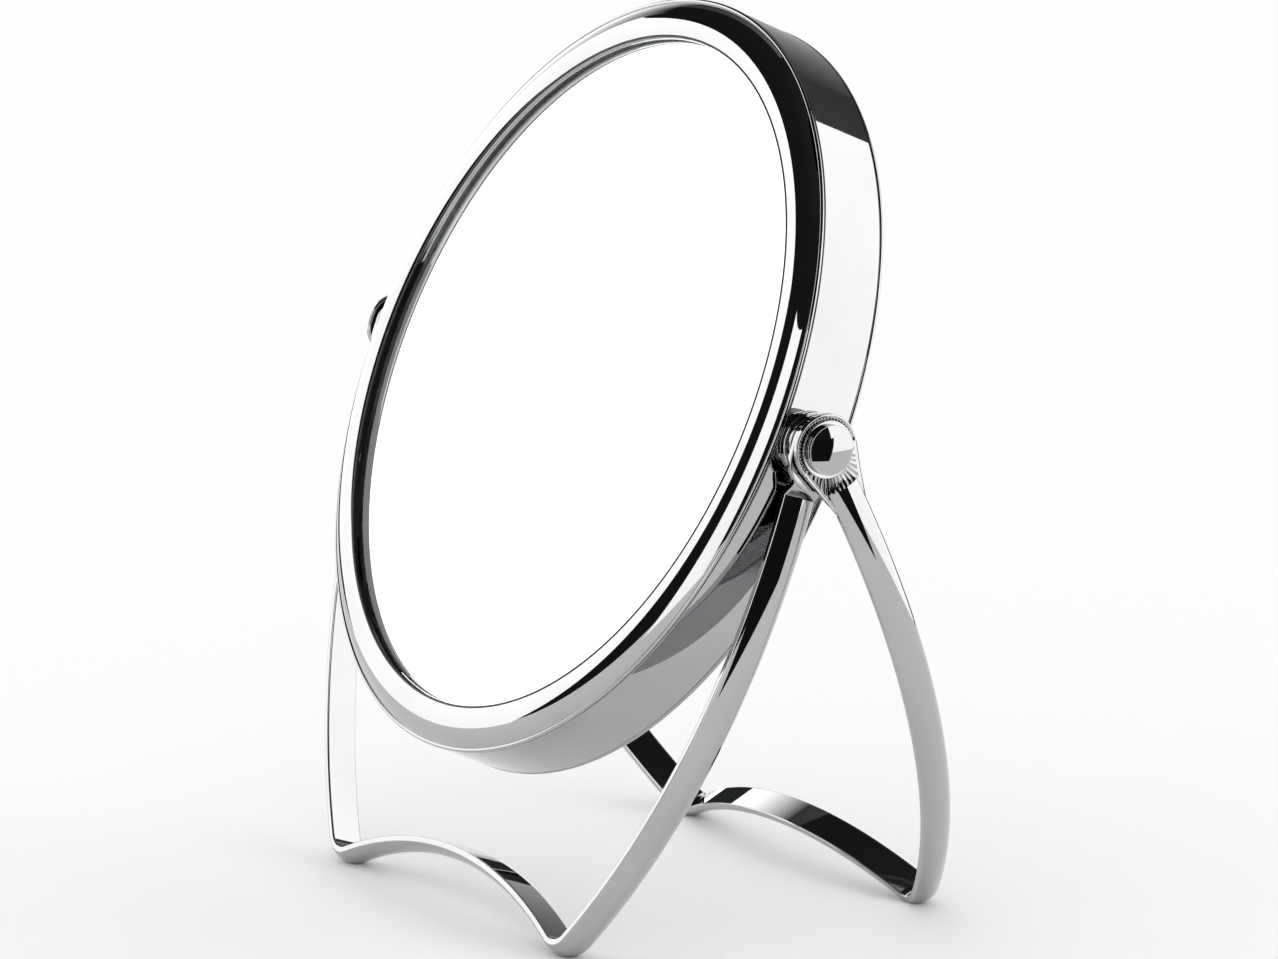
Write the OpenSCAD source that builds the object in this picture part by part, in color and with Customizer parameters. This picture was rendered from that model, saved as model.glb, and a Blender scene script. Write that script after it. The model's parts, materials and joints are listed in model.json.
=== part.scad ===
// Folding table mirror: a two-sided round head hung on a horizontal pivot between two
// chromed loops of half-oval bar that open like a pair of scissors to make a stand.
// Frame: +X along the pivot axis, -Y towards the user, +Z up, the table top at z = 0.

/* [Head] */
// Outer radius of the plain band round the head
head_radius = 85; // [60:0.5:120]
// Half the distance between the two seams of the band
seam_half = 7.4; // [5:0.1:12]
// Wall of the band
band_wall = 0.8; // [0.5:0.1:2]
// Backward tilt of the head from upright, in degrees
head_tilt = 24.3; // [-30:0.1:60]
// Radius of the opening that shows the glass
sight_radius = 75.4; // [50:0.1:110]
// Radius of the rounded bezel section
bezel_round = 7.5; // [4:0.1:12]
// Distance of the bezel section's centre from the outer radius
bezel_inset = 6.4; // [3:0.1:10]
// Height of the bezel section's centre above mid-depth
bezel_lift = 3.1; // [0:0.1:6]
// Sheet thickness of the bezels
bezel_sheet = 0.6; // [0.3:0.1:1.2]
// Radius of the rolled bead at each bezel's outer edge
bead_radius = 0.45; // [0.2:0.05:1]

/* [Glass] */
// Radius of both mirror discs
glass_radius = 77.8; // [50:0.1:115]
// Height of the plain glass face above mid-depth
glass_face = 8.8; // [6:0.1:14]
// Thickness of the plain glass
plain_thick = 2.2; // [1.5:0.1:4]
// Thickness of the magnifying glass
magnifier_thick = 2; // [1.5:0.1:4]
// Radius of curvature of the magnifying glass
magnifier_curve = 1500; // [400:10:3000]

/* [Bar] */
// Width of the half-oval bar
bar_width = 7.4; // [4:0.1:12]
// Thickness of the bar at its edges
bar_edge = 1.4; // [0.8:0.1:3]
// Extra thickness at the middle of the rounded face
bar_crown = 1.7; // [0.2:0.1:3]
// Inside radius of the foot corners
corner_radius = 4.7; // [2:0.1:12]
// Depth ground flat under each foot
foot_flat = 0.15; // [0.05:0.05:0.5]

/* [Front leg] */
// Forward lean of the front leg from upright, in degrees
front_lean = 18.5; // [5:0.1:40]
// Radius of the front leg's curved arms, inner face
front_arm_radius = 153.6; // [100:0.1:250]
// Sideways offset of the arm arc's centre past the middle
front_arm_across = 68.2; // [0:0.1:150]
// Drop of the arm arc's centre below the pivot
front_arm_drop = 14.6; // [0:0.1:60]
// Radius of the arched bottom bar, inner face
front_arch_radius = 109.7; // [60:0.1:250]
// Drop of the arch's highest point below the pivot
front_arch_drop = 103.8; // [90:0.1:140]
// Radius of the front leg's ears
front_ear_radius = 6.4; // [5:0.1:9]

/* [Rear leg] */
// Radius of the rear leg's curved arms, inner face
rear_arm_radius = 136.2; // [100:0.1:250]
// Sideways offset of the arm arc's centre past the middle
rear_arm_across = 45.3; // [0:0.1:150]
// Drop of the arm arc's centre below the pivot
rear_arm_drop = 21; // [0:0.1:60]
// Radius of the arched bottom bar, inner face
rear_arch_radius = 116.6; // [60:0.1:250]
// Drop of the arch's highest point below the pivot
rear_arch_drop = 110.1; // [90:0.1:150]
// Radius of the rear leg's ears
rear_ear_radius = 7.3; // [5:0.1:10]

/* [Pivot] */
// Radius of the pivot screws' shanks
shank_radius = 2.5; // [1.5:0.1:4]
// Radial clearance of the ears on the shanks
running_gap = 0.05; // [0.02:0.01:0.1]
// Radius of the screws' domed heads
dome_radius = 5.2; // [3:0.1:8]
// Radius of the grooved collars
collar_radius = 6.9; // [4:0.1:9]
// Distance of the front ears' inner faces from the middle
front_ear_at = 88.2; // [80:0.1:100]
// Distance of the rear ears' inner faces from the middle
rear_ear_at = 90.3; // [80:0.1:100]

/* [Hidden] */
$fn = 96;
eps = 0.01;
// The foot corners are this much fatter than the bars that run into them, so the joints are sound
weld = 0.02;
// How far a bar runs into a foot corner
lap = 0.1;
function lap_angle(r) = lap / r * 180 / PI;
crown_radius = (pow(bar_width / 2, 2) + pow(bar_crown, 2)) / (2 * bar_crown);
bar_deep = bar_edge + bar_crown;
bezel_r = head_radius - bezel_inset;
seat_gap = 0.1;

// Distance from the bar arc's centre to the arm arc's centre, and the foot corner between them
function arch_centre(arch_r, arch_drop) = [0, -arch_drop - arch_r];
function arm_centre(across, drop) = [-across, -drop];
function corner_centre(p, rp, q, rq) =
    let (d = norm(q - p))
    let (u = (q - p) / d)
    let (a = (rp * rp - rq * rq + d * d) / (2 * d))
    let (h = sqrt(rp * rp - a * a))
    p + a * u + h * [-u[1], u[0]];
function corner_of(arm_r, across, drop, arch_r, arch_drop) = corner_centre(
    arm_centre(across, drop), arm_r - corner_radius,
    arch_centre(arch_r, arch_drop), arch_r + corner_radius);
front_corner = corner_of(front_arm_radius, front_arm_across, front_arm_drop,
    front_arch_radius, front_arch_drop);
rear_corner = corner_of(rear_arm_radius, rear_arm_across, rear_arm_drop,
    rear_arch_radius, rear_arch_drop);
front_reach = corner_radius - front_corner[1];
rear_reach = corner_radius - rear_corner[1];
pivot_height = (front_reach + bar_deep - crown_radius) * cos(front_lean) + crown_radius - foot_flat;
rear_lean = acos((pivot_height + foot_flat - crown_radius) / (rear_reach + bar_deep - crown_radius));
head_front = bezel_r * sin(head_tilt) + bezel_lift * cos(head_tilt) + bezel_round;
feet_back = (rear_reach + bar_edge) * sin(rear_lean) + bar_width / 2 * cos(rear_lean);
pivot_y = (head_front - feet_back) / 2;

// Height of the magnifying glass's face at a distance from its middle
function slump(r) = magnifier_sag(glass_radius) - magnifier_sag(r) - glass_face;
function magnifier_sag(r) = magnifier_curve - sqrt(magnifier_curve * magnifier_curve - r * r);

chrome = [0.86, 0.87, 0.89];

// ---- placing ----
module at_pivot() {
    translate([0, pivot_y, pivot_height])
    children();
}

// The head's own frame: its axis is z, the plain glass faces +z
module at_head() {
    at_pivot()
    rotate([90 - head_tilt, 0, 0])
    children();
}

// Turns a shape drawn for the +X side to the chosen side
module on_side(side) {
    rotate([0, 0, side > 0 ? 0 : 180])
    children();
}

// A shape turned about the pivot axis, drawn with its length along z from x = 0 outwards
module along_x() {
    rotate([0, 90, 0])
    children();
}

// ---- bar ----
// Half-oval section with its rounded side away from the sweep's centre, grown all round by skin
module crown_outward(inner, skin) {
    intersection() {
        translate([inner - skin, -bar_width / 2 - skin])
        square([bar_deep + 2 * skin, bar_width + 2 * skin]);
        translate([inner + bar_deep - crown_radius, 0])
        circle(r = crown_radius + skin);
    }
}

module crown_inward(inner) {
    intersection() {
        translate([inner - bar_deep, -bar_width / 2])
        square([bar_deep, bar_width]);
        translate([inner - bar_deep + crown_radius, 0])
        circle(r = crown_radius);
    }
}

// Sweeps a section about a centre in the leg's plane, from one angle to another
module sweep(centre, from, to) {
    translate([centre[0], 0, centre[1]])
    rotate([90, 0, 0])
    rotate([0, 0, from])
    rotate_extrude(angle = to - from)
    children();
}

// One arm and foot corner on the +X side
module arm_side(arm_r, across, drop, corner, arch_r, arch_drop, top) {
    arm_c = arm_centre(across, drop);
    arch_c = arch_centre(arch_r, arch_drop);
    to_corner = corner - arm_c;
    low = atan2(to_corner[1], to_corner[0]);
    high = asin((-top - arm_c[1]) / arm_r);
    up_corner = corner - arch_c;
    bend = atan2(up_corner[1], up_corner[0]) - 180;
    sweep(arm_c, low - lap_angle(arm_r), high)
    crown_outward(arm_r, 0);
    sweep(corner, bend, low)
    crown_outward(corner_radius, weld);
}

module arch(corner, arch_r, arch_drop) {
    arch_c = arch_centre(arch_r, arch_drop);
    up_corner = corner - arch_c;
    side = atan2(up_corner[1], up_corner[0]);
    sweep(arch_c, side - lap_angle(arch_r), 180 - side + lap_angle(arch_r))
    crown_inward(arch_r);
}

module loop(arm_r, across, drop, corner, arch_r, arch_drop, top) {
    arch(corner, arch_r, arch_drop);
    arm_side(arm_r, across, drop, corner, arch_r, arch_drop, top);
    mirror([1, 0, 0])
    arm_side(arm_r, across, drop, corner, arch_r, arch_drop, top);
}

// Flat ear drawn in the leg's plane frame: y across the bar, z up the leg
module front_ear() {
    low = 3;
    translate([front_ear_at, 0, 0])
    difference() {
        union() {
            along_x()
            cylinder(r = front_ear_radius, h = bar_edge);
            translate([0, 0, -low])
            along_x()
            cylinder(r = front_ear_radius, h = bar_edge);
            translate([0, -front_ear_radius, -low])
            cube([bar_edge, front_ear_radius * 2, low]);
        }
        translate([-1, 0, 0])
        along_x()
        cylinder(r = shank_radius + running_gap, h = bar_edge + 2);
    }
}

// The set-back between the front ear and its arm
module front_joggle() {
    inner = sqrt(pow(front_arm_radius, 2) - pow(12.4 - front_arm_drop, 2)) - front_arm_across + 0.04;
    lower = inner + bar_edge - 0.08;
    outer = front_ear_at + bar_edge;
    translate([0, bar_width / 2, 0])
    rotate([90, 0, 0])
    linear_extrude(height = bar_width)
    polygon([[front_ear_at, -5], [front_ear_at, -7.3], [inner, -11], [inner, -12.4],
        [lower, -12.4], [lower, -11.5], [outer, -8.1], [outer, -5]]);
}

module rear_ear() {
    reach = 14;
    half = bar_width / 2 - 0.05;
    far = norm([half, reach]);
    turn = atan2(reach, half) - acos(rear_ear_radius / far);
    tx = rear_ear_radius * cos(turn);
    tz = rear_ear_radius * sin(turn);
    translate([rear_ear_at, 0, 0])
    difference() {
        union() {
            along_x()
            cylinder(r = rear_ear_radius, h = bar_edge);
            along_x()
            linear_extrude(height = bar_edge)
            polygon([[0, tx], [tz, tx], [reach, half], [reach, -half], [tz, -tx], [0, -tx]]);
        }
        translate([-1, 0, 0])
        along_x()
        cylinder(r = shank_radius + running_gap, h = bar_edge + 2);
    }
}

module grind_feet() {
    difference() {
        children();
        translate([-150, -150, -20])
        cube([300, 300, 20]);
    }
}

module front_leg() {
    color(chrome)
    grind_feet()
    at_pivot()
    rotate([-front_lean, 0, 0])
    union() {
        loop(front_arm_radius, front_arm_across, front_arm_drop, front_corner,
            front_arch_radius, front_arch_drop, 11.2);
        for (side = [1, -1]) {
            scale([side, 1, 1]) front_ear();
            scale([side, 1, 1]) front_joggle();
        }
    }
}

module rear_leg() {
    color(chrome)
    grind_feet()
    at_pivot()
    rotate([rear_lean, 0, 0])
    union() {
        loop(rear_arm_radius, rear_arm_across, rear_arm_drop, rear_corner,
            rear_arch_radius, rear_arch_drop, 9);
        for (side = [1, -1]) {
            scale([side, 1, 1]) rear_ear();
        }
    }
}

// ---- head ----
module drum_band() {
    color(chrome)
    at_head()
    difference() {
        translate([0, 0, -seam_half + seat_gap])
        cylinder(r = head_radius, h = 2 * (seam_half - seat_gap));
        translate([0, 0, -seam_half])
        cylinder(r = head_radius - band_wall, h = 2 * seam_half);
        translate([-head_radius - 5, 0, 0])
        along_x()
        cylinder(r = shank_radius + 0.1, h = 2 * head_radius + 10);
    }
}

// Section of a bezel: rounded sheet, rolled bead, hidden skirt and the lip over the glass
module bezel_section() {
    difference() {
        intersection() {
            translate([bezel_r, bezel_lift])
            circle(r = bezel_round);
            translate([sight_radius, 7.6])
            square([bezel_r + bezel_round - sight_radius, 6]);
        }
        translate([bezel_r, bezel_lift])
        circle(r = bezel_round - bezel_sheet);
    }
    translate([head_radius + 0.1 - bead_radius, seam_half + bead_radius])
    circle(r = bead_radius);
    translate([head_radius - band_wall - 0.75, 4.2])
    square([0.65, seam_half + bead_radius - 4.2]);
    translate([sight_radius, glass_face + 0.05])
    square([bezel_sheet, 0.6]);
    translate([head_radius - band_wall - 0.75, 7.6])
    square([1.2, 0.4]);
}

module bezel() {
    rotate_extrude()
    bezel_section();
}

module front_bezel() {
    color(chrome)
    at_head()
    bezel();
}

module rear_bezel() {
    color(chrome)
    at_head()
    mirror([0, 0, 1])
    bezel();
}

module front_glass() {
    color([0.8, 0.85, 0.9])
    at_head()
    translate([0, 0, glass_face - plain_thick])
    cylinder(r = glass_radius, h = plain_thick);
}

module rear_glass() {
    rings = [0 : 1 : 10];
    color([0.8, 0.85, 0.9])
    at_head()
    rotate_extrude()
    polygon(concat(
        [for (i = rings) [i * glass_radius / 10, slump(i * glass_radius / 10)]],
        [for (i = rings) [(10 - i) * glass_radius / 10,
            slump((10 - i) * glass_radius / 10) + magnifier_thick]]));
}

module front_pad() {
    color([0.9, 0.9, 0.86])
    at_head()
    translate([0, 0, 5.85])
    cylinder(r = 76, h = glass_face - plain_thick - 5.85);
}

module rear_pad() {
    inner = 5.2 * glass_radius / 7.78;
    outer = 7 * glass_radius / 7.78;
    rings = [0 : 1 : 4];
    color([0.9, 0.9, 0.86])
    at_head()
    rotate_extrude()
    polygon(concat(
        [for (i = rings)
            let (r = inner + (outer - inner) * i / 4)
            [r, slump(r) + magnifier_thick + 0.03]],
        [[outer, -4.15], [inner, -4.15]]));
}

module core_frame() {
    color([0.93, 0.93, 0.9])
    at_head()
    difference() {
        union() {
            difference() {
                translate([0, 0, -4.1])
                cylinder(r = head_radius - band_wall - 0.9, h = 9.9);
                translate([0, 0, 1])
                cylinder(r = 68, h = 6);
                translate([0, 0, -6])
                cylinder(r = 70.1, h = 5);
            }
            for (r = [36, 54]) {
                difference() {
                    translate([0, 0, -4.1])
                    cylinder(r = r + 2, h = 9.9);
                    translate([0, 0, -5])
                    cylinder(r = r, h = 12);
                }
            }
        }
        for (a = [30 : 60 : 330]) {
            rotate([0, 0, a])
            translate([22, 0, -5])
            cylinder(r = 7, h = 8);
        }
        for (side = [1, -1]) {
            translate([side * 77.7 - 6.5, -6.6, -3.05])
            cube([13, 13.2, 12]);
            translate([side * 77.7, 0, 0])
            rotate([0, side * 90, 0])
            cylinder(r = shank_radius + 0.3, h = 8);
            for (y = [-4.6, 4.6]) {
                translate([side * 77.7, y, -3.9])
                cylinder(r = 0.95, h = 2);
            }
        }
    }
}

// Threaded block in the core that takes one pivot screw, drawn for the +X side
module nut_block() {
    difference() {
        translate([71.4, -6.4, -3])
        cube([12.2, 12.8, 7]);
        translate([70, 0, 0])
        along_x()
        cylinder(r = shank_radius + 0.02, h = 16);
        for (y = [-4.6, 4.6]) {
            translate([77.7, y, -4])
            cylinder(r = 1, h = 9);
        }
    }
}

module nut_block_right() {
    color([0.78, 0.66, 0.38])
    at_head()
    nut_block();
}

module nut_block_left() {
    color([0.78, 0.66, 0.38])
    at_head()
    on_side(-1)
    nut_block();
}

module block_screws() {
    color([0.6, 0.6, 0.62])
    at_head()
    for (side = [1, -1], y = [-4.6, 4.6]) {
        translate([side * 77.7, y, -3.8])
        union() {
            cylinder(r = 0.9, h = 8);
            translate([0, 0, 7.85])
            cylinder(r = 1.7, h = 1.2);
        }
    }
}

// ---- pivots ----
module pivot_screw() {
    base = rear_ear_at + bar_edge + seat_gap + 0.5;
    dome = 1.0;
    ball = (pow(dome_radius - 0.15, 2) + pow(dome, 2)) / (2 * dome);
    along_x()
    union() {
        translate([0, 0, 73])
        cylinder(r = shank_radius, h = base - 73 + 0.2);
        translate([0, 0, base])
        cylinder(r = dome_radius, h = 0.55);
        translate([0, 0, base + 0.5])
        cylinder(r = dome_radius - 0.3, h = 0.35);
        translate([0, 0, base + 0.8])
        cylinder(r = dome_radius - 0.05, h = 0.4);
        intersection() {
            translate([0, 0, base + 1.2 - eps])
            cylinder(r = dome_radius - 0.15, h = dome + 1);
            translate([0, 0, base + 1.2 + dome - ball])
            sphere(r = ball);
        }
    }
}

module collar() {
    far = front_ear_at - seat_gap;
    deep = far - head_radius;
    along_x()
    difference() {
        union() {
            translate([0, 0, head_radius])
            cylinder(r = collar_radius, h = deep * 0.42);
            translate([0, 0, head_radius])
            cylinder(r = collar_radius - 0.7, h = deep * 0.6);
            translate([0, 0, head_radius + deep * 0.56])
            cylinder(r = collar_radius - 0.3, h = deep * 0.44);
        }
        translate([0, 0, head_radius - 1])
        cylinder(r = shank_radius + 0.1, h = deep + 2);
    }
}

module plain_washer(at, outer, thick) {
    along_x()
    translate([0, 0, at])
    difference() {
        cylinder(r = outer, h = thick);
        translate([0, 0, -1])
        cylinder(r = shank_radius + 0.1, h = thick + 2);
    }
}

module pivot_screw_right() {
    color(chrome)
    at_head()
    pivot_screw();
}

module pivot_screw_left() {
    color(chrome)
    at_head()
    on_side(-1)
    pivot_screw();
}

module collar_right() {
    color(chrome)
    at_head()
    collar();
}

module collar_left() {
    color(chrome)
    at_head()
    on_side(-1)
    collar();
}

// Thin washer under each domed head, turning with the head
module head_washer_right() {
    color(chrome)
    at_head()
    plain_washer(rear_ear_at + bar_edge + seat_gap, dome_radius + 0.8, 0.5);
}

module head_washer_left() {
    color(chrome)
    at_head()
    on_side(-1)
    plain_washer(rear_ear_at + bar_edge + seat_gap, dome_radius + 0.8, 0.5);
}

// Friction washer between the two ears, staying with the front leg
module ear_washer_right() {
    color([0.2, 0.2, 0.22])
    at_pivot()
    rotate([-front_lean, 0, 0])
    plain_washer(front_ear_at + bar_edge, 5.6, rear_ear_at - front_ear_at - bar_edge - seat_gap);
}

module ear_washer_left() {
    color([0.2, 0.2, 0.22])
    at_pivot()
    rotate([-front_lean, 0, 0])
    on_side(-1)
    plain_washer(front_ear_at + bar_edge, 5.6, rear_ear_at - front_ear_at - bar_edge - seat_gap);
}

front_leg();
rear_leg();
drum_band();
front_bezel();
rear_bezel();
front_glass();
rear_glass();
front_pad();
rear_pad();
core_frame();
nut_block_left();
nut_block_right();
block_screws();
pivot_screw_left();
pivot_screw_right();
collar_left();
collar_right();
head_washer_left();
head_washer_right();
ear_washer_left();
ear_washer_right();
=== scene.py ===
import json
import math

import bpy
import numpy as np
from mathutils import Matrix, Vector


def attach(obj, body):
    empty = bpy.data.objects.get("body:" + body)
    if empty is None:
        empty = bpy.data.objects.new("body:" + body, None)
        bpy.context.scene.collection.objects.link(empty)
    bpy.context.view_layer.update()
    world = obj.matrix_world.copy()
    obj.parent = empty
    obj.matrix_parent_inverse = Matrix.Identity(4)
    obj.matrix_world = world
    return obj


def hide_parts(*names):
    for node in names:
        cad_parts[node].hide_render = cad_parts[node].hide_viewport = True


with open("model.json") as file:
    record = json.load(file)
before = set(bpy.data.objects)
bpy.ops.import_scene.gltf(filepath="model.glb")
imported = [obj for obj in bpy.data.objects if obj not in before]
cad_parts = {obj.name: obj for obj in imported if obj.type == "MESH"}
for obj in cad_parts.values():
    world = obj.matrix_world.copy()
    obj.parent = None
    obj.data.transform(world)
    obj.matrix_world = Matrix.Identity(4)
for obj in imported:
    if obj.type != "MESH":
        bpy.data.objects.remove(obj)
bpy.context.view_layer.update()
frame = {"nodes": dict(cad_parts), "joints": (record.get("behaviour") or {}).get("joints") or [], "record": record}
joint = {j["name"]: j for j in frame["joints"]}
PIVOT = np.array(joint["head_tilt"]["pos_m"]) * 1000.0

# ------------------------------------------------------------------ sizes, in mm and degrees
# head: band with its seams and wall, bezels with their round section, sheet, bead and inner curl, glasses
HEAD_R, SEAM, WALL, TILT = 85.0, 7.4, 0.8, 24.3
SIGHT_R, BEZEL_ROUND, BEZEL_INSET, BEZEL_LIFT = 75.4, 7.5, 6.4, 3.1
SHEET, BEAD_R, LIP_CURL = 0.6, 0.45, 1.0
GLASS_R, GLASS_FACE, GLASS_T, MAG_T, MAG_CURVE = 77.8, 8.8, 2.2, 2.0, 1500.0
# at the front edge of the glass: a fine black cord on the curl, at an angle round it, which is painted shade, the
# dark line where the bezel meets the glass; and a flat seal ring
SHADE_LINE_R, SHADE_LINE_AT, SEAL_T = 0.26, 128, 0.49
# bar: width, thickness at its edges, crown, edge rounding, foot corner, and the depth ground off the feet
BAR_W, BAR_EDGE, BAR_CROWN, BAR_SOFT, CORNER_R, FLAT = 7.4, 1.4, 1.7, 0.42, 4.7, 0.15
BAR_DEEP = BAR_EDGE + BAR_CROWN
CROWN_R = ((BAR_W / 2) ** 2 + BAR_CROWN**2) / (2 * BAR_CROWN)
# legs: the arms' arc with its centre's place from the pivot, the bottom arch, and where the arms' tops end
FRONT = dict(arm_r=153.6, across=68.2, drop=14.6, arch_r=109.7, arch_drop=103.8, top=11.2)
REAR = dict(arm_r=136.2, across=45.3, drop=21.0, arch_r=116.6, arch_drop=110.1, top=9.0)
FRONT_LEAN, FRONT_EAR_R, FRONT_EAR_LONG, REAR_EAR_R = 18.5, 6.4, 3.0, 7.3
# recess in the rear ears: its depth, the serrations' number and height, and the plain land inside them
RECESS, TEETH, TOOTH, LAND_R = 0.2, 52, 0.13, 4.6
# pivots
SHANK_R, SHANK_FROM, RUN_GAP, SEAT_GAP = 2.5, 73.0, 0.05, 0.1
DOME_R, DOME_HIGH, COLLAR_R, WASHER_R, WASHER_T, PAD_R = 5.2, 1.0, 6.9, 6.0, 0.6, 5.6
FRONT_EAR_X, REAR_EAR_X = 88.2, 90.3
FRONT_FACE, REAR_FACE = FRONT_EAR_X + BAR_EDGE, REAR_EAR_X + BAR_EDGE


def circles_meet(p, rp, q, rq):
    """Where two circles cross, on the left of the way from p to q."""
    d = np.linalg.norm(q - p)
    u = (q - p) / d
    a = (rp * rp - rq * rq + d * d) / (2 * d)
    h = math.sqrt(rp * rp - a * a)
    return p + a * u + h * np.array([-u[1], u[0]])


for leg in (FRONT, REAR):
    leg["arm_c"] = np.array([-leg["across"], -leg["drop"]])
    leg["arch_c"] = np.array([0.0, -leg["arch_drop"] - leg["arch_r"]])
    leg["corner"] = circles_meet(
        leg["arm_c"], leg["arm_r"] - CORNER_R, leg["arch_c"], leg["arch_r"] + CORNER_R
    )
# the rear leg leans until its feet stand at table height
rear_reach = CORNER_R - REAR["corner"][1] + BAR_DEEP - CROWN_R
REAR_LEAN = math.degrees(math.acos((PIVOT[2] + FLAT - CROWN_R) / rear_reach))


def turned(degrees):
    """Turns about the pivot's direction."""
    return np.array(Matrix.Rotation(math.radians(degrees), 3, "X"))


HEAD_TURN, FRONT_TURN, REAR_TURN = turned(90 - TILT), turned(-FRONT_LEAN), turned(REAR_LEAN)


# ------------------------------------------------------------------ mesh making
class Solid:
    """Patches of points and normals, in mm, welded into one mesh whose corners keep their own normals."""

    WELD = 2e-4

    def __init__(self):
        self.points, self.normals, self.quads, self.count = [], [], [], 0

    def patch(self, points, normals):
        points, normals = np.asarray(points, float), np.asarray(normals, float)
        a, b = points.shape[:2]
        index = np.arange(a * b).reshape(a, b) + self.count
        quads = np.stack([index[:-1, :-1], index[1:, :-1], index[1:, 1:], index[:-1, 1:]], -1).reshape(-1, 4)
        self.points.append(points.reshape(-1, 3))
        self.normals.append(normals.reshape(-1, 3))
        self.quads.append(quads)
        self.count += a * b

    def fan(self, rim, normal):
        """A flat face bounded by rim."""
        rim = np.asarray(rim, float)
        middle = np.repeat(rim.mean(0)[None], len(rim) + 1, 0)
        rim = np.vstack([rim, rim[:1]])
        self.patch(np.stack([middle, rim]), np.broadcast_to(normal, (2, len(rim), 3)))

    def moved(self, turn, shift, grow=(1, 1, 1)):
        """Mirrored by grow, turned about the origin and shifted."""
        grow = np.array(grow, float)
        self.points = [p * grow @ turn.T + shift for p in self.points]
        self.normals = [n * grow @ turn.T for n in self.normals]
        return self

    def add(self, other):
        self.points += other.points
        self.normals += other.normals
        self.quads += [q + self.count for q in other.quads]
        self.count += other.count
        return self

    def mesh(self, name):
        points, normals = np.vstack(self.points), np.vstack(self.normals)
        quads = np.vstack(self.quads)
        normals /= np.linalg.norm(normals, axis=1, keepdims=True)
        keys = np.round(points / self.WELD).astype(np.int64)
        _, first, welded = np.unique(keys, axis=0, return_index=True, return_inverse=True)
        welded = welded.reshape(-1)
        flat = points[quads]
        across = np.cross(flat[:, 2] - flat[:, 0], flat[:, 3] - flat[:, 1])
        wrong = (across * normals[quads].sum(1)).sum(1) < 0
        quads[wrong] = quads[wrong][:, ::-1]
        faces, corners = [], []
        for q in quads.tolist():
            ids, kept = [], []
            for k in q:
                w = int(welded[k])
                if w not in ids:
                    ids.append(w)
                    kept.append(k)
            if len(ids) > 2:
                faces.append(ids)
                corners += kept
        mesh = bpy.data.meshes.new(name)
        mesh.from_pydata((points[first] / 1000.0).tolist(), [], faces)
        mesh.update()
        mesh.normals_split_custom_set(normals[corners].tolist())
        return mesh


def arc(cx, cy, r, start, end, step=6.0, sign=1.0):
    """Points and outward normals of an arc, in degrees."""
    n = max(2, int(abs(end - start) / step) + 2)
    a = np.radians(np.linspace(start, end, n))
    out = np.stack([np.cos(a), np.sin(a)], 1)
    return np.stack([cx + r * out[:, 0], cy + r * out[:, 1]], 1), out * sign


def line(p, q, n=2):
    """A straight stretch whose normal is to the right of its direction."""
    p, q = np.array(p, float), np.array(q, float)
    d = (q - p) / np.linalg.norm(q - p)
    pts = p + np.linspace(0, 1, n)[:, None] * (q - p)
    return pts, np.tile([d[1], -d[0]], (n, 1))


def rounded(corners, radii, closed=True, step=12.0):
    """A polygon with rounded corners, as stretches of points and normals. It runs anticlockwise, so that its
    normals point out."""
    n = len(corners)
    corners = [np.array(c, float) for c in corners]
    stretches, ends = [], []
    for i in range(n):
        c, r = corners[i], radii[i]
        if not closed and i in (0, n - 1):
            ends.append((c, c, None))
            continue
        a = corners[i - 1] - c
        b = corners[(i + 1) % n] - c
        a, b = a / np.linalg.norm(a), b / np.linalg.norm(b)
        if r <= 0:
            ends.append((c, c, None))
            continue
        half = math.acos(max(-1, min(1, a @ b))) / 2
        reach = r / math.tan(half)
        mid = (a + b) / np.linalg.norm(a + b)
        centre = c + mid * r / math.sin(half)
        p, q = c + a * reach, c + b * reach
        start = math.degrees(math.atan2(*(p - centre)[::-1]))
        end = math.degrees(math.atan2(*(q - centre)[::-1]))
        while end - start > 180:
            end -= 360
        while end - start < -180:
            end += 360
        ends.append((p, q, arc(centre[0], centre[1], r, start, end, step, 1.0 if end > start else -1.0)))
    for i in range(n):
        if ends[i][2] is not None:
            stretches.append(ends[i][2])
        if i < n - 1 or closed:
            p, q = ends[i][1], ends[(i + 1) % n][0]
            if np.linalg.norm(q - p) > 1e-4:
                stretches.append(line(p, q))
    return stretches


def revolve(stretches, steps, along="z", solid=None):
    """Turns stretches of (radius, height) about an axis."""
    solid = solid or Solid()
    a = np.radians(np.linspace(0, 360, steps + 1))
    a[-1] = 0.0
    c, s = np.cos(a)[None], np.sin(a)[None]
    for pts, nor in stretches:
        r, h, nr, nh = pts[:, :1], pts[:, 1:], nor[:, :1], nor[:, 1:]
        one = np.ones_like(c)
        if along == "z":
            p, n = np.stack([r * c, r * s, h * one], -1), np.stack([nr * c, nr * s, nh * one], -1)
        else:
            p, n = np.stack([h * one, r * c, r * s], -1), np.stack([nh * one, nr * c, nr * s], -1)
        solid.patch(p, n)
    return solid


MATERIALS = {}


def piece(name, solid, body, node, material):
    """A visual piece on a body, standing in for a CAD node, with one of MATERIALS."""
    obj = bpy.data.objects.new(name, solid.mesh(name))
    bpy.context.scene.collection.objects.link(obj)
    obj.data.materials.append(MATERIALS[material])
    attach(obj, body)
    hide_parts(node)


# ------------------------------------------------------------------ materials
def new_material(name):
    m = bpy.data.materials.new(name)
    m.use_nodes = True
    t = m.node_tree
    return m, t, t.nodes["Principled BSDF"]


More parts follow.
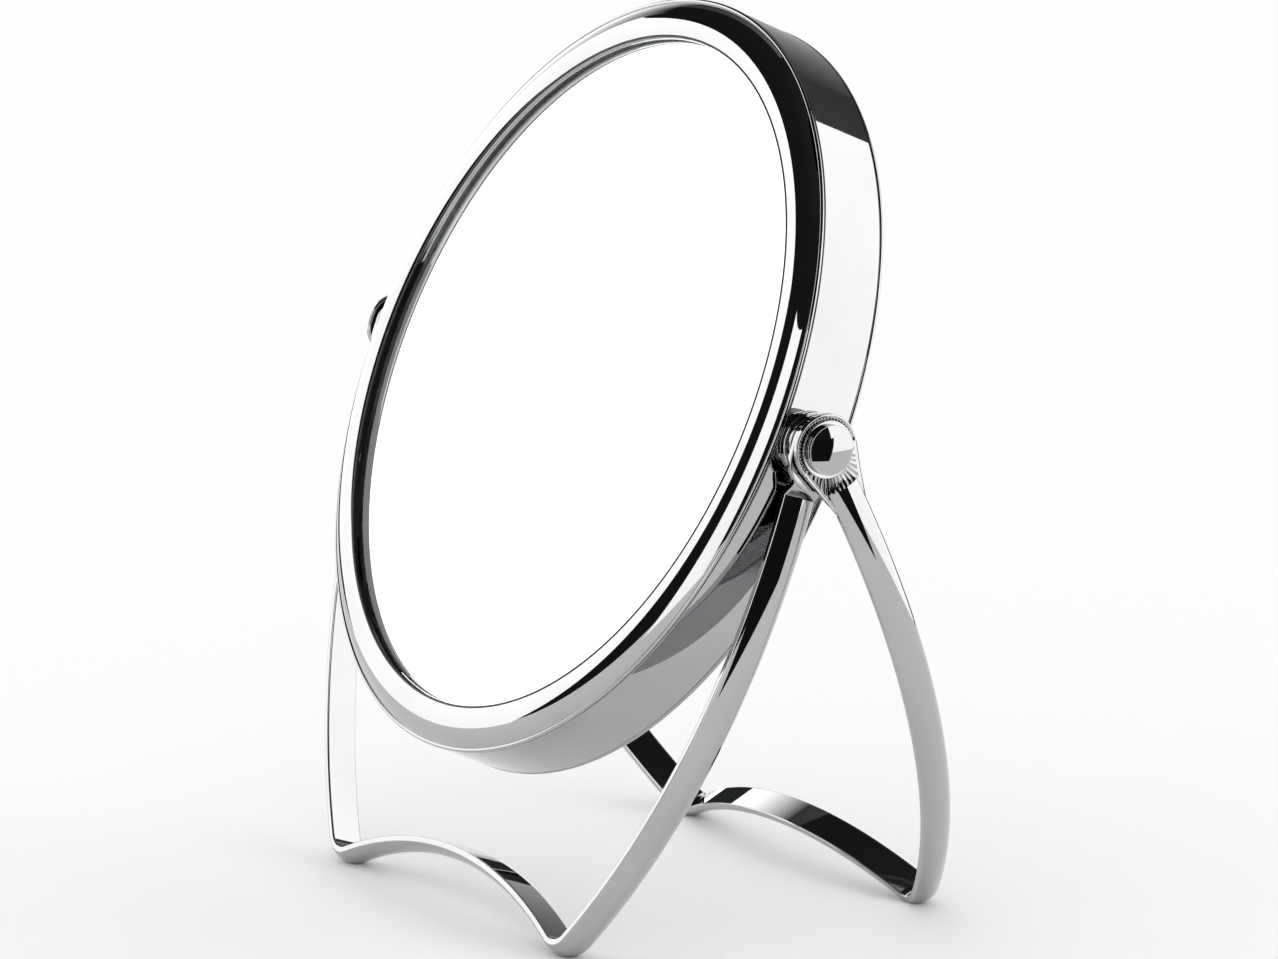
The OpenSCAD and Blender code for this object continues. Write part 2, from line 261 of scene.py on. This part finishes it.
def add_noise(t, scale, detail=3.0, rough=0.55, stretch=None):
    coord = t.nodes.new("ShaderNodeTexCoord")
    source = coord.outputs["Object"]
    if stretch:
        mapping = t.nodes.new("ShaderNodeMapping")
        mapping.inputs["Scale"].default_value = stretch
        t.links.new(source, mapping.inputs["Vector"])
        source = mapping.outputs["Vector"]
    noise = t.nodes.new("ShaderNodeTexNoise")
    noise.inputs["Scale"].default_value = scale
    noise.inputs["Detail"].default_value = detail
    noise.inputs["Roughness"].default_value = rough
    t.links.new(source, noise.inputs["Vector"])
    return noise.outputs["Fac"]


def ranged(t, value, low, high, at=(0.3, 0.7)):
    m = t.nodes.new("ShaderNodeMapRange")
    m.inputs["From Min"].default_value, m.inputs["From Max"].default_value = at
    m.inputs["To Min"].default_value, m.inputs["To Max"].default_value = low, high
    t.links.new(value, m.inputs["Value"])
    return m.outputs["Result"]


def tinted(t, value, dark, light, at=(0.3, 0.7)):
    ramp = t.nodes.new("ShaderNodeValToRGB")
    ramp.color_ramp.elements[0].position, ramp.color_ramp.elements[1].position = at
    ramp.color_ramp.elements[0].color = (*dark, 1)
    ramp.color_ramp.elements[1].color = (*light, 1)
    t.links.new(value, ramp.inputs["Fac"])
    return ramp.outputs["Color"]


def bumped(t, bsdf, value, distance, strength=1.0):
    bump = t.nodes.new("ShaderNodeBump")
    bump.inputs["Distance"].default_value = distance
    bump.inputs["Strength"].default_value = strength
    t.links.new(value, bump.inputs["Height"])
    if bsdf.inputs["Normal"].links:
        t.links.new(bsdf.inputs["Normal"].links[0].from_socket, bump.inputs["Normal"])
    t.links.new(bump.outputs["Normal"], bsdf.inputs["Normal"])


def metal(name, dark, light, rough, grain, peel=0.0):
    m, t, b = new_material(name)
    b.inputs["Metallic"].default_value = 1.0
    t.links.new(tinted(t, add_noise(t, 45.0, 4.0), dark, light), b.inputs["Base Color"])
    t.links.new(ranged(t, add_noise(t, grain, 6.0, 0.65), *rough), b.inputs["Roughness"])
    if peel:
        bumped(t, b, add_noise(t, 900.0, 2.0), peel)
    return m


def clear(name, dark, light, rough):
    """Clear plate glass."""
    m, t, b = new_material(name)
    b.inputs["Transmission Weight"].default_value = 1.0
    b.inputs["IOR"].default_value = 1.52
    t.links.new(tinted(t, add_noise(t, 25.0, 2.0), dark, light), b.inputs["Base Color"])
    t.links.new(ranged(t, add_noise(t, 90.0, 4.0), *rough), b.inputs["Roughness"])
    return m


def plain(name, dark, light, rough, scale, bump, stretch=None):
    """Plastic, rubber or board, with a fine mottle and grain."""
    m, t, b = new_material(name)
    t.links.new(tinted(t, add_noise(t, scale, 5.0, 0.6, stretch), dark, light), b.inputs["Base Color"])
    t.links.new(ranged(t, add_noise(t, scale * 1.7, 3.0), *rough), b.inputs["Roughness"])
    bumped(t, b, add_noise(t, scale * 2.5, 4.0, 0.6, stretch), bump)
    return m


CHROME = (0.438, 0.442, 0.45), (0.47, 0.474, 0.482)
BRASS = (0.62, 0.46, 0.2), (0.78, 0.62, 0.33)
ZINC = (0.5, 0.51, 0.54), (0.68, 0.69, 0.7)
SILVER = (0.92, 0.935, 0.935), (0.94, 0.95, 0.95)
CRYSTAL = (0.965, 0.985, 0.975), (0.985, 0.995, 0.99)
BLACK = (0.02, 0.02, 0.022), (0.05, 0.05, 0.055)
IVORY = (0.72, 0.72, 0.68), (0.82, 0.82, 0.79)
PALE = (0.62, 0.61, 0.635), (0.72, 0.71, 0.735)
BOARD = (0.42, 0.37, 0.3), (0.62, 0.56, 0.47)
MATERIALS["chrome"] = metal("polished_chrome", *CHROME, (0.012, 0.04), 260.0, 2e-7)
MATERIALS["brass"] = metal("machined_brass", *BRASS, (0.22, 0.4), 500.0, 4e-6)
MATERIALS["steel"] = metal("zinc_steel", *ZINC, (0.25, 0.42), 800.0, 3e-6)
MATERIALS["mirror"] = metal("silvered_glass", *SILVER, (0.0, 0.012), 30.0)
MATERIALS["glass"] = clear("plate_glass", *CRYSTAL, (0.0, 0.006))
# black nylon for the friction washers; the cord on the bezels' curl uses it too, as painted shade
MATERIALS["nylon"] = plain("nylon_and_painted_shade", *BLACK, (0.42, 0.6), 900.0, 1.5e-5)
MATERIALS["core"] = plain("moulded_core", *IVORY, (0.4, 0.58), 700.0, 2e-5)
MATERIALS["seal"] = plain("pale_seal", *PALE, (0.45, 0.6), 600.0, 1e-5)
MATERIALS["backing"] = plain("grey_board", *BOARD, (0.8, 0.95), 1200.0, 6e-5, (1, 1, 0.3))

# ------------------------------------------------------------------ legs


def bar_section():
    """Half-oval section as stretches of (across, outward) points and normals, with its edges just broken."""
    w = BAR_W / 2
    crown_c = BAR_DEEP - CROWN_R
    soft_w = w - BAR_SOFT
    soft_c = crown_c + math.sqrt((CROWN_R - BAR_SOFT) ** 2 - soft_w**2)
    meet = math.degrees(math.atan2(soft_c - crown_c, soft_w))
    half = [
        line((0, 0), (soft_w, 0)),
        arc(soft_w, BAR_SOFT, BAR_SOFT, -90, 0, 15),
        line((w, BAR_SOFT), (w, soft_c)),
        arc(soft_w, soft_c, BAR_SOFT, 0, meet, 12),
        arc(0, crown_c, CROWN_R, meet, 90, 3),
    ]
    other = [(p[::-1] * [-1, 1], n[::-1] * [-1, 1]) for p, n in half[::-1]]
    return half + other


def leg_path(leg):
    """Stations on the loop's inner face from the right arm's top to the left one's, with outward normals."""
    arm_c, arch_c, corner = leg["arm_c"], leg["arch_c"], leg["corner"]
    high = math.degrees(math.asin((-leg["top"] - arm_c[1]) / leg["arm_r"]))
    low = math.degrees(math.atan2(*(corner - arm_c)[::-1]))
    up = math.degrees(math.atan2(*(corner - arch_c)[::-1]))
    pts, nor = [], []
    for (p, n), sign in (
        (arc(*arm_c, leg["arm_r"], high, low, 0.5), 1),
        (arc(*corner, CORNER_R, low, up - 180, 3.0), 1),
        (arc(*arch_c, leg["arch_r"], up, 90, 0.6), -1),
    ):
        skip = 1 if pts else 0
        pts.append(p[skip:])
        nor.append(n[skip:] * sign)
    pts, nor = np.vstack(pts), np.vstack(nor)
    left_p, left_n = pts[-2::-1] * [-1, 1], nor[-2::-1] * [-1, 1]
    return np.vstack([pts, left_p]), np.vstack([nor, left_n])


def bar(leg):
    """The half-oval bar along its loop, closed at both ends."""
    pts, nor = leg_path(leg)
    solid = Solid()
    for p, n in bar_section():
        across, out = p[:, 0][None], p[:, 1][None]
        x = pts[:, 0][:, None] + nor[:, 0][:, None] * out
        z = pts[:, 1][:, None] + nor[:, 1][:, None] * out
        y = np.broadcast_to(across, x.shape)
        nx = nor[:, 0][:, None] * n[:, 1][None]
        nz = nor[:, 1][:, None] * n[:, 1][None]
        ny = np.broadcast_to(n[:, 0][None], x.shape)
        solid.patch(np.stack([x, y, z], -1), np.stack([nx, ny, nz], -1))
    for end, way in ((0, -1), (-1, 1)):
        rim = []
        for p, _ in bar_section():
            for a, d in p:
                rim.append([pts[end][0] + nor[end][0] * d, a, pts[end][1] + nor[end][1] * d])
        tangent = pts[1] - pts[0] if end == 0 else pts[-1] - pts[-2]
        tangent = tangent / np.linalg.norm(tangent) * way
        solid.fan(rim, [tangent[0], 0, tangent[1]])
    return solid


def arm_inner(leg, z):
    """How far the arm's inner face is from the middle at a height from the pivot."""
    return np.sqrt(leg["arm_r"] ** 2 - (z - leg["arm_c"][1]) ** 2) + leg["arm_c"][0]


def blend(t):
    """A smooth step from 0 to 1."""
    t = np.clip(t, 0, 1)
    return t * t * (3 - 2 * t)


def outline_front(inset, n=240):
    """The front ear's outline, inset, as (across, up) points and normals."""
    r = FRONT_EAR_R - inset
    top_p, top_n = arc(0, 0, r, 0, 180, 360 / n)
    low_p, low_n = arc(0, -FRONT_EAR_LONG, r, 180, 360, 360 / n)
    return np.vstack([top_p, low_p, top_p[:1]]), np.vstack([top_n, low_n, top_n[:1]])


def outline_rear(inset, n=720, reach=14.0):
    """The rear ear's teardrop outline, inset. It reaches down into the arm."""
    r, half = REAR_EAR_R - inset, BAR_W / 2 - 0.04 - inset
    far = math.hypot(half, reach)
    turn = math.degrees(math.atan2(reach, half) - math.acos(r / far))
    top_p, top_n = arc(0, 0, r, -turn, 180 + turn, 360 / n)
    left, left_n = line(top_p[-1], (-half, -reach), 24)
    base, base_n = line((-half, -reach), (half, -reach), 12)
    right, right_n = line((half, -reach), top_p[0], 24)
    return (
        np.vstack([top_p, left[1:], base[1:], right[1:]]),
        np.vstack([top_n, -left_n[1:], -base_n[1:], -right_n[1:]]),
    )


def hole_ring(turn, x):
    """The ear's hole for the pivot, at x."""
    across, up = np.cos(turn) * (SHANK_R + RUN_GAP), np.sin(turn) * (SHANK_R + RUN_GAP)
    return np.column_stack([np.full(len(turn), x), across, up])


def ear(outline, x0, x1, face_rows, round_in, round_out):
    """A flat ear between x0 and x1, open at the middle of its outer face. face_rows are rings on that face,
    as (inset, depth, tilt of the normal). Gives the last ring as well, and the hole's points as angles."""
    solid = Solid()

    def ring(inset, x):
        p, n = outline(inset)
        return np.column_stack([np.full(len(p), x), p]), np.column_stack([np.zeros(len(p)), n])

    rows_p, rows_n = [], []
    for start, x, r in ((-90, x0, round_in), (0, x1, round_out)):
        way = 1 if start < 0 else -1
        for a in np.radians(np.linspace(start, start + 90, 6)):
            p, n = ring(r * (1 - math.cos(a)), x + r * (way + math.sin(a)))
            rows_p.append(p)
            rows_n.append(n * math.cos(a) + np.array([math.sin(a), 0, 0]))
    solid.patch(rows_p, rows_n)
    back, _ = outline(round_in)
    turn = np.arctan2(back[:, 1], back[:, 0])
    rim = np.column_stack([np.full(len(back), x0), back])
    solid.patch([rim, hole_ring(turn, x0)], np.broadcast_to([-1.0, 0, 0], (2, len(back), 3)))
    last, _ = outline(round_out)
    last = np.column_stack([np.full(len(last), x1), last])
    for inset, depth, tilt in face_rows:
        nxt, n = outline(inset)
        nxt = np.column_stack([np.full(len(nxt), x1 - depth), nxt])
        normal = np.column_stack([np.ones(len(n)), -n * tilt])
        solid.patch([last, nxt], np.stack([normal, normal]))
        last = nxt
    return solid, last, turn


def close_ear(solid, last, turn, low, high):
    """The ear's outer face from its last ring to the hole, and the hole's wall."""
    near, far = hole_ring(turn, high), hole_ring(turn, low)
    solid.patch([last, near], np.broadcast_to([1.0, 0, 0], (2, len(turn), 3)))
    inward = near * [0, -1, -1]
    solid.patch([near, far], [inward, inward])


def front_ear():
    solid, last, turn = ear(outline_front, FRONT_EAR_X, FRONT_FACE, [], 0.25, 0.3)
    close_ear(solid, last, turn, FRONT_EAR_X, FRONT_FACE)
    return solid


def rear_ear():
    """Teardrop ear with a serrated recess round the washer, stepped out to the arm below it."""
    solid, last, turn = ear(
        outline_rear, REAR_EAR_X, REAR_FACE, [(0.42, 0.0, 0.0), (0.8, RECESS, 0.55)], 0.5, 0.3
    )
    floor_x = REAR_FACE - RECESS
    rows_p, rows_n, rings = [], [], 9
    rim = last[:, 1:]
    for t in np.linspace(0, 1, rings):
        p = rim * (1 - t) + np.column_stack([np.cos(turn), np.sin(turn)]) * LAND_R * t
        r = np.linalg.norm(p, axis=1)
        a = np.arctan2(p[:, 1], p[:, 0])
        fade = min(1.0, t * (rings - 1)) * min(1.0, (1 - t) * (rings - 1))
        slope = -np.sin(a * TEETH) * TEETH * TOOTH / r * fade
        rows_p.append(np.column_stack([floor_x + TOOTH * np.cos(a * TEETH) * fade, p]))
        rows_n.append(np.column_stack([np.ones(len(a)), slope * np.sin(a), -slope * np.cos(a)]))
    solid.patch(rows_p, rows_n)
    close_ear(solid, rows_p[-1], turn, REAR_EAR_X, floor_x)
    step_from, step_long, lowest = -4.0, 8.0, -14.0
    for p in solid.points:
        z = p[:, 2]
        lean = arm_inner(REAR, np.maximum(z, lowest)) + 0.02 - REAR_EAR_X
        p[:, 0] += blend((step_from - z) / step_long) * lean
    return solid


def joggle():
    """The thin set-back strip between the front ear and its arm."""
    inner = float(arm_inner(FRONT, -12.4)) + 0.03
    top = FRONT_EAR_X + 0.03
    # down the strip: heights, and how far its inner face is from the middle
    knots_z = np.array([-4.0, -7.0, -7.6, -8.4, -10.4, -11.2, -11.8, -13.2])
    knots_x = np.array([top, top, top - 0.06, top - 0.5, inner + 0.35, inner + 0.03, inner, inner + 0.02])
    fine = np.linspace(knots_z[0], knots_z[-1], 40)
    x = np.interp(-fine, -knots_z, knots_x)
    for _ in range(2):
        x[1:-1] = (x[:-2] + 2 * x[1:-1] + x[2:]) / 4
    dx, dz = np.gradient(x), np.gradient(fine)
    length = np.hypot(dx, dz)
    out = np.column_stack([-dz / length, dx / length])
    solid = Solid()
    w, t = BAR_W / 2 - 0.02, BAR_EDGE - 0.06
    section = rounded([(-w, 0), (w, 0), (w, t), (-w, t)], [0.25] * 4, True, 20)
    for p, n in section:
        px = x[:, None] + out[:, 0][:, None] * p[:, 1][None]
        pz = fine[:, None] + out[:, 1][:, None] * p[:, 1][None]
        py = np.broadcast_to(p[:, 0][None], px.shape)
        nx = out[:, 0][:, None] * n[:, 1][None]
        nz = out[:, 1][:, None] * n[:, 1][None]
        ny = np.broadcast_to(n[:, 0][None], px.shape)
        solid.patch(np.stack([px, py, pz], -1), np.stack([nx, ny, nz], -1))
    for end, way in ((0, 1.0), (-1, -1.0)):
        rim = [[x[end] + out[end][0] * d, a, fine[end] + out[end][1] * d] for p, _ in section for a, d in p]
        solid.fan(rim, [0, 0, way])
    return solid


def both_sides(make):
    """A solid on the right with its mirror image on the left."""
    return make().add(make().moved(np.eye(3), 0, (-1, 1, 1)))


def grounded(solid):
    """The feet are ground flat at table height."""
    for p in solid.points:
        p[:, 2] = np.maximum(p[:, 2], 0.0)
    return solid


front = bar(FRONT).add(both_sides(front_ear)).add(both_sides(joggle)).moved(FRONT_TURN, PIVOT)
rear = bar(REAR).add(both_sides(rear_ear)).moved(REAR_TURN, PIVOT)
piece("front_leg_bar", grounded(front), "front_stand", "front_leg", "chrome")
piece("rear_leg_bar", grounded(rear), "rear_stand", "rear_leg", "chrome")

# ------------------------------------------------------------------ head


def on_head(solid, grow=(1, 1, 1)):
    """Puts a solid made about the head's own axis into place."""
    return solid.moved(HEAD_TURN, PIVOT, grow)


# the sheet curls down to the glass in a tight round, tangent to the wide one
WIDE_C = HEAD_R - BEZEL_INSET, BEZEL_LIFT
CURL_X = SIGHT_R + LIP_CURL
CURL_C = CURL_X, BEZEL_LIFT + math.sqrt((BEZEL_ROUND - LIP_CURL) ** 2 - (CURL_X - WIDE_C[0]) ** 2)


def bezel():
    """Section of a bezel: rolled bead, wide round, curl and lip down to the glass, skirt inside the band."""
    r, bead, t = BEZEL_ROUND, BEAD_R, SHEET
    lip = math.degrees(math.atan2(CURL_C[1] - WIDE_C[1], CURL_C[0] - WIDE_C[0]))
    lip_z = GLASS_FACE + 0.04
    bead_c = (HEAD_R + 0.1 - bead, SEAM + bead)
    # where the rounded sheet runs into the bead
    away = math.hypot(bead_c[0] - WIDE_C[0], bead_c[1] - WIDE_C[1])
    toward = math.degrees(math.atan2(bead_c[1] - WIDE_C[1], bead_c[0] - WIDE_C[0]))
    open_r = math.degrees(math.acos((r * r + away * away - bead * bead) / (2 * r * away)))
    open_b = math.degrees(math.acos((bead * bead + away * away - r * r) / (2 * bead * away)))
    skirt_out = HEAD_R - WALL - 0.1
    skirt_in = skirt_out - 0.65
    skirt_z = 4.2
    under_end = math.degrees(math.acos((skirt_in - WIDE_C[0]) / (r - t)))
    under = arc(*WIDE_C, r - t, lip, under_end, 3, -1.0)
    return [
        arc(*bead_c, bead, -90, toward + 180 - open_b, 8),
        arc(*WIDE_C, r, toward + open_r, lip, 1.2),
        arc(*CURL_C, LIP_CURL, lip, 180, 4),
        line((SIGHT_R, CURL_C[1]), (SIGHT_R, lip_z)),
        line((SIGHT_R, lip_z), (SIGHT_R + t, lip_z)),
        line((SIGHT_R + t, lip_z), (SIGHT_R + t, CURL_C[1])),
        arc(*CURL_C, LIP_CURL - t, 180, lip, 10, -1.0),
        under,
        line(under[0][-1], (skirt_in, skirt_z)),
        line((skirt_in, skirt_z), (skirt_out, skirt_z)),
        line((skirt_out, skirt_z), (skirt_out, SEAM)),
        line((skirt_out, SEAM), (bead_c[0], SEAM)),
    ]


def band_profile():
    """Section of the band, its edges just broken."""
    z = SEAM - 0.1
    corners = [(HEAD_R - WALL, -z), (HEAD_R, -z), (HEAD_R, z), (HEAD_R - WALL, z)]
    return rounded(corners, [0.1, 0.18, 0.18, 0.1], True, 15)


def sag(r):
    """How far the magnifying glass's sphere falls away at a radius."""
    return MAG_CURVE - math.sqrt(MAG_CURVE**2 - r * r)


def slump(r):
    """Height of the magnifying glass's face, which is hollow."""
    return sag(GLASS_R) - sag(r) - GLASS_FACE


def disc(lower, upper, r):
    """A disc between two height functions, its edge ground."""
    e = 0.25
    rs = np.linspace(0, r - e, 24)

    def face(fn, up):
        h = np.array([fn(q) for q in rs])
        slope = np.gradient(h, rs)
        return np.column_stack([rs, h]), np.column_stack([-slope, np.ones_like(rs)]) * up

    top, bottom = face(upper, 1), face(lower, -1)
    low, high = bottom[0][-1][1], top[0][-1][1]
    edge = [
        line((r - e, low), (r, low + e)),
        line((r, low + e), (r, high - e)),
        line((r, high - e), (r - e, high)),
    ]
    return [top, bottom] + edge


def flat_ring(inner, outer, low, high, soft):
    """Section of a flat ring, or of a disc where inner is 0."""
    corners = [(inner, low), (outer, low), (outer, high), (inner, high)]
    return rounded(corners, [soft] * 4, inner > 0)


def painted_shade_cord():
    """Section of the fine black cord that sits on the bezel's curl, painted shade: the dark line at the glass's
    edge.
    """
    a = math.radians(SHADE_LINE_AT)
    return [arc(CURL_C[0] + LIP_CURL * math.cos(a), CURL_C[1] + LIP_CURL * math.sin(a), SHADE_LINE_R, 0, 360, 30)]


def on_both_faces(name, section, steps, material):
    for side, way in (("front", 1), ("rear", -1)):
        ring = on_head(revolve(section, steps), (1, 1, way))
        piece(f"{side}_{name}", ring, "head", f"{side}_bezel", material)


on_both_faces("bezel_ring", bezel(), 540, "chrome")
# a black cord round each sight edge: painted shade, the dark line where the bezel meets the glass
on_both_faces("painted_shade_line", painted_shade_cord(), 360, "nylon")
piece("head_band", on_head(revolve(band_profile(), 540)), "head", "drum_band", "chrome")
# the plain glass is silvered on its back, and a pale seal closes it under the bezel
back = GLASS_FACE - GLASS_T + 0.05
plate = disc(lambda r: back, lambda r: GLASS_FACE, GLASS_R)
silver = flat_ring(0, GLASS_R - 0.3, back - 0.035, back - 0.005, 0)
seal_z = GLASS_FACE + 0.01
seal = flat_ring(SIGHT_R + SHEET + 0.05, GLASS_R + 0.9, seal_z, seal_z + SEAL_T, 0.05)
magnifier = disc(slump, lambda r: slump(r) + MAG_T, GLASS_R)
piece("plain_glass", on_head(revolve(plate, 360)), "head", "front_glass", "glass")
piece("silver_coat", on_head(revolve(silver, 360)), "head", "front_glass", "mirror")
piece("glass_seal", on_head(revolve(seal, 360)), "head", "front_bezel", "seal")
piece("magnifying_glass", on_head(revolve(magnifier, 360)), "head", "rear_glass", "mirror")

# ------------------------------------------------------------------ pivots
BORE_R = SHANK_R + SEAT_GAP


def collar():
    """A collar with a groove round it, as (radius, distance from the middle)."""
    far = FRONT_EAR_X - SEAT_GAP
    deep = far - HEAD_R
    groove, step = HEAD_R + deep * 0.42, HEAD_R + deep * 0.56
    corners = [(BORE_R, HEAD_R), (COLLAR_R, HEAD_R), (COLLAR_R, groove), (COLLAR_R - 0.7, groove + 0.15)]
    corners += [(COLLAR_R - 0.7, step - 0.1), (COLLAR_R - 0.3, step), (COLLAR_R - 0.3, far), (BORE_R, far)]
    return revolve(rounded(corners, [0, 0.2, 0.4, 0.15, 0.15, 0.25, 0.3, 0], True, 15), 192, "x")


def washer(x0, x1, r, soft):
    """A washer on the shank between two distances from the middle."""
    corners = [(BORE_R, x0), (r, x0), (r, x1), (BORE_R, x1)]
    return revolve(rounded(corners, [0.05, soft, soft, 0.05], True, 15), 160, "x")


def pivot_screw():
    """A screw whose head has two fine grooves at its rim and a low dome."""
    base = REAR_FACE + SEAT_GAP + 0.5
    top = base + 1.2
    lip, groove, rim = DOME_R - 0.02, DOME_R - 0.35, DOME_R - 0.2
    ball = (rim**2 + DOME_HIGH**2) / (2 * DOME_HIGH)
    tip = math.degrees(math.asin(rim / ball))
    corners = [(0, SHANK_FROM), (SHANK_R, SHANK_FROM), (SHANK_R, base), (DOME_R, base), (DOME_R, base + 0.5)]
    corners += [(groove, base + 0.62), (groove, base + 0.75), (lip, base + 0.85), (lip, top), (rim, top)]
    section = rounded(corners, [0, 0.5, 0, 0.12, 0.2, 0.06, 0.06, 0.12, 0.12, 0], False, 15)
    section.append(arc(0, top + DOME_HIGH - ball, ball, 90 - tip, 90, 1.5))
    return revolve(section, 192, "x")


for side, way in (("right", 1), ("left", -1)):
    thin = washer(REAR_FACE + 0.02, REAR_FACE + WASHER_T, WASHER_R, 0.15)
    pad = washer(FRONT_FACE, REAR_EAR_X - SEAT_GAP, PAD_R, 0.12)
    parts = (
        ("domed_screw", pivot_screw(), "head", "pivot_screw", "chrome"),
        ("grooved_collar", collar(), "head", "collar", "chrome"),
        ("dome_washer", thin, "head", "head_washer", "chrome"),
        ("friction_washer", pad, "front_stand", "ear_washer", "nylon"),
    )
    for name, solid, body, node, material in parts:
        placed = solid.moved(np.eye(3), PIVOT, (way, 1, 1))
        piece(f"{name}_{side}", placed, body, f"{node}_{side}", material)

for row in frame["record"]["subparts"]:
    obj = frame["nodes"][row["node"]]
    obj.data.materials.clear()
    obj.data.materials.append(MATERIALS[row["material_slot"]])

# ------------------------------------------------------------------ studio
# Azimuths are degrees from the front, towards the right. Elevations are degrees up. Distances are metres.
PIVOT_M = Vector(PIVOT / 1000.0)
# where the camera stands as seen from the pivot, which way its back faces, and its roll
STAND_AZ, STAND_EL, STAND_OFF = 59.758, 9.831, 1.391
AIM_AZ, AIM_EL, ROLL = 59.4, 10.68, -0.212
LENS, SENSOR = 182.59, 36.0
DARK_TINT = (0.84, 0.93, 1, 1)


def direction(azimuth, elevation):
    a, e = math.radians(azimuth), math.radians(elevation)
    return Vector((math.sin(a) * math.cos(e), -math.cos(a) * math.cos(e), math.sin(e)))


cam_data = bpy.data.cameras.new("camera")
cam_data.sensor_width, cam_data.lens = SENSOR, LENS
cam_data.clip_start, cam_data.clip_end = 0.01, 100
cam = bpy.data.objects.new("camera", cam_data)
bpy.context.scene.collection.objects.link(cam)
aim = direction(AIM_AZ, AIM_EL).to_track_quat("Z", "Y").to_matrix().to_4x4()
stand = PIVOT_M + direction(STAND_AZ, STAND_EL) * STAND_OFF
cam.matrix_world = Matrix.Translation(stand) @ aim @ Matrix.Rotation(math.radians(ROLL), 4, "Z")
bpy.context.scene.camera = cam


def screen(name, left, right, bottom, top, distance, light):
    """A curved panel round the object that only reflections see. left and right are azimuths, as (at the
    bottom, at the top), and bottom and top are elevations from the pivot. light is its strength, or (at the
    bottom, at the top)."""
    rows, cols, points, faces = 8, 24, [], []
    for i in range(rows + 1):
        t = i / rows
        z = PIVOT_M.z + distance * math.tan(math.radians(bottom + (top - bottom) * t))
        for j in range(cols + 1):
            low = left[0] + (right[0] - left[0]) * j / cols
            high = left[1] + (right[1] - left[1]) * j / cols
            a = math.radians(low + (high - low) * t)
            points.append((math.sin(a) * distance, -math.cos(a) * distance, z))
            if i and j:
                last = len(points) - 1
                under = last - cols - 1
                faces.append((under - 1, under, last, last - 1))
    mesh = bpy.data.meshes.new(name)
    mesh.from_pydata(points, [], faces)
    obj = bpy.data.objects.new(name, mesh)
    bpy.context.scene.collection.objects.link(obj)
    m = bpy.data.materials.new(name)
    m.use_nodes = True
    t = m.node_tree
    t.nodes.clear()
    out = t.nodes.new("ShaderNodeOutputMaterial")
    glow = t.nodes.new("ShaderNodeEmission")
    if isinstance(light, tuple):
        place = t.nodes.new("ShaderNodeNewGeometry")
        split = t.nodes.new("ShaderNodeSeparateXYZ")
        t.links.new(place.outputs["Position"], split.inputs["Vector"])
        span = points[0][2], points[-1][2]
        t.links.new(ranged(t, split.outputs["Z"], *light, at=span), glow.inputs["Strength"])
    else:
        glow.inputs["Strength"].default_value = light
        glow.inputs["Color"].default_value = DARK_TINT
    t.links.new(glow.outputs[0], out.inputs["Surface"])
    m.cycles.emission_sampling = "NONE"
    mesh.materials.append(m)
    obj.visible_camera = obj.visible_diffuse = obj.visible_shadow = False


# soft boxes in front, on the left and behind
screen("panel_front", (-0.5, -0.5), (31, 37), -10, 43, 0.55, (1.9, 2.15))
screen("panel_left", (-85, -85), (-39, -42), -10, 30, 0.5, (1.95, 2.15))
screen("panel_far_left", (-120, -120), (-85, -85), -10, 14, 0.6, (2.1, 2.0))
screen("panel_far_left_top", (-120, -120), (-85, -85), 14, 32, 0.6, (2.0, 0.02))
screen("panel_rear_left", (-152, -152), (-120, -120), -10, 30, 0.6, (0.7, 0.06))
screen("panel_rear", (-248, -248), (-171, -171), -10, 46, 0.55, (1.95, 2.1))
# dark flags in front of them
screen("flag_left_low", (-130, -130), (-70, -70), -9.5, -4.5, 0.47, 0.08)
screen("flag_far_left", (-132, -132), (-106, -106), -9.5, 2.5, 0.465, 0.03)
screen("flag_camera_side", (50, 50), (106, 112), -19, 8, 0.3, 0.011)
# the dim room between them
screen("room_rear", (-171, -171), (-100, -100), 30, 62, 0.62, (0.062, 0.22))
screen("room_rear_low", (-171, -171), (-150, -150), -10, 46, 0.64, (0.045, 0.075))
screen("room", (-180, -180), (180, 180), -3, 80, 2.5, (0.013, 0.03))

world = bpy.data.worlds.new("studio")
bpy.context.scene.world = world
world.use_nodes = True
world.node_tree.nodes["Background"].inputs["Color"].default_value = (1, 1, 1, 1)
world.node_tree.nodes["Background"].inputs["Strength"].default_value = 1.1
world.cycles_visibility.glossy = world.cycles_visibility.transmission = False

# half the floor's width
FLOOR = 6.0
floor_mesh = bpy.data.meshes.new("floor")
corners = [(-FLOOR, -FLOOR, 0), (FLOOR, -FLOOR, 0), (FLOOR, FLOOR, 0), (-FLOOR, FLOOR, 0)]
floor_mesh.from_pydata(corners, [], [(0, 1, 2, 3)])
floor = bpy.data.objects.new("floor", floor_mesh)
bpy.context.scene.collection.objects.link(floor)
fm, _, fb = new_material("pale_floor")
fb.inputs["Base Color"].default_value = (0.9, 0.9, 0.9, 1)
fb.inputs["Roughness"].default_value = 0.9
fb.inputs["Specular IOR Level"].default_value = 0.0
floor_mesh.materials.append(fm)

bpy.context.scene.view_settings.view_transform = "Standard"
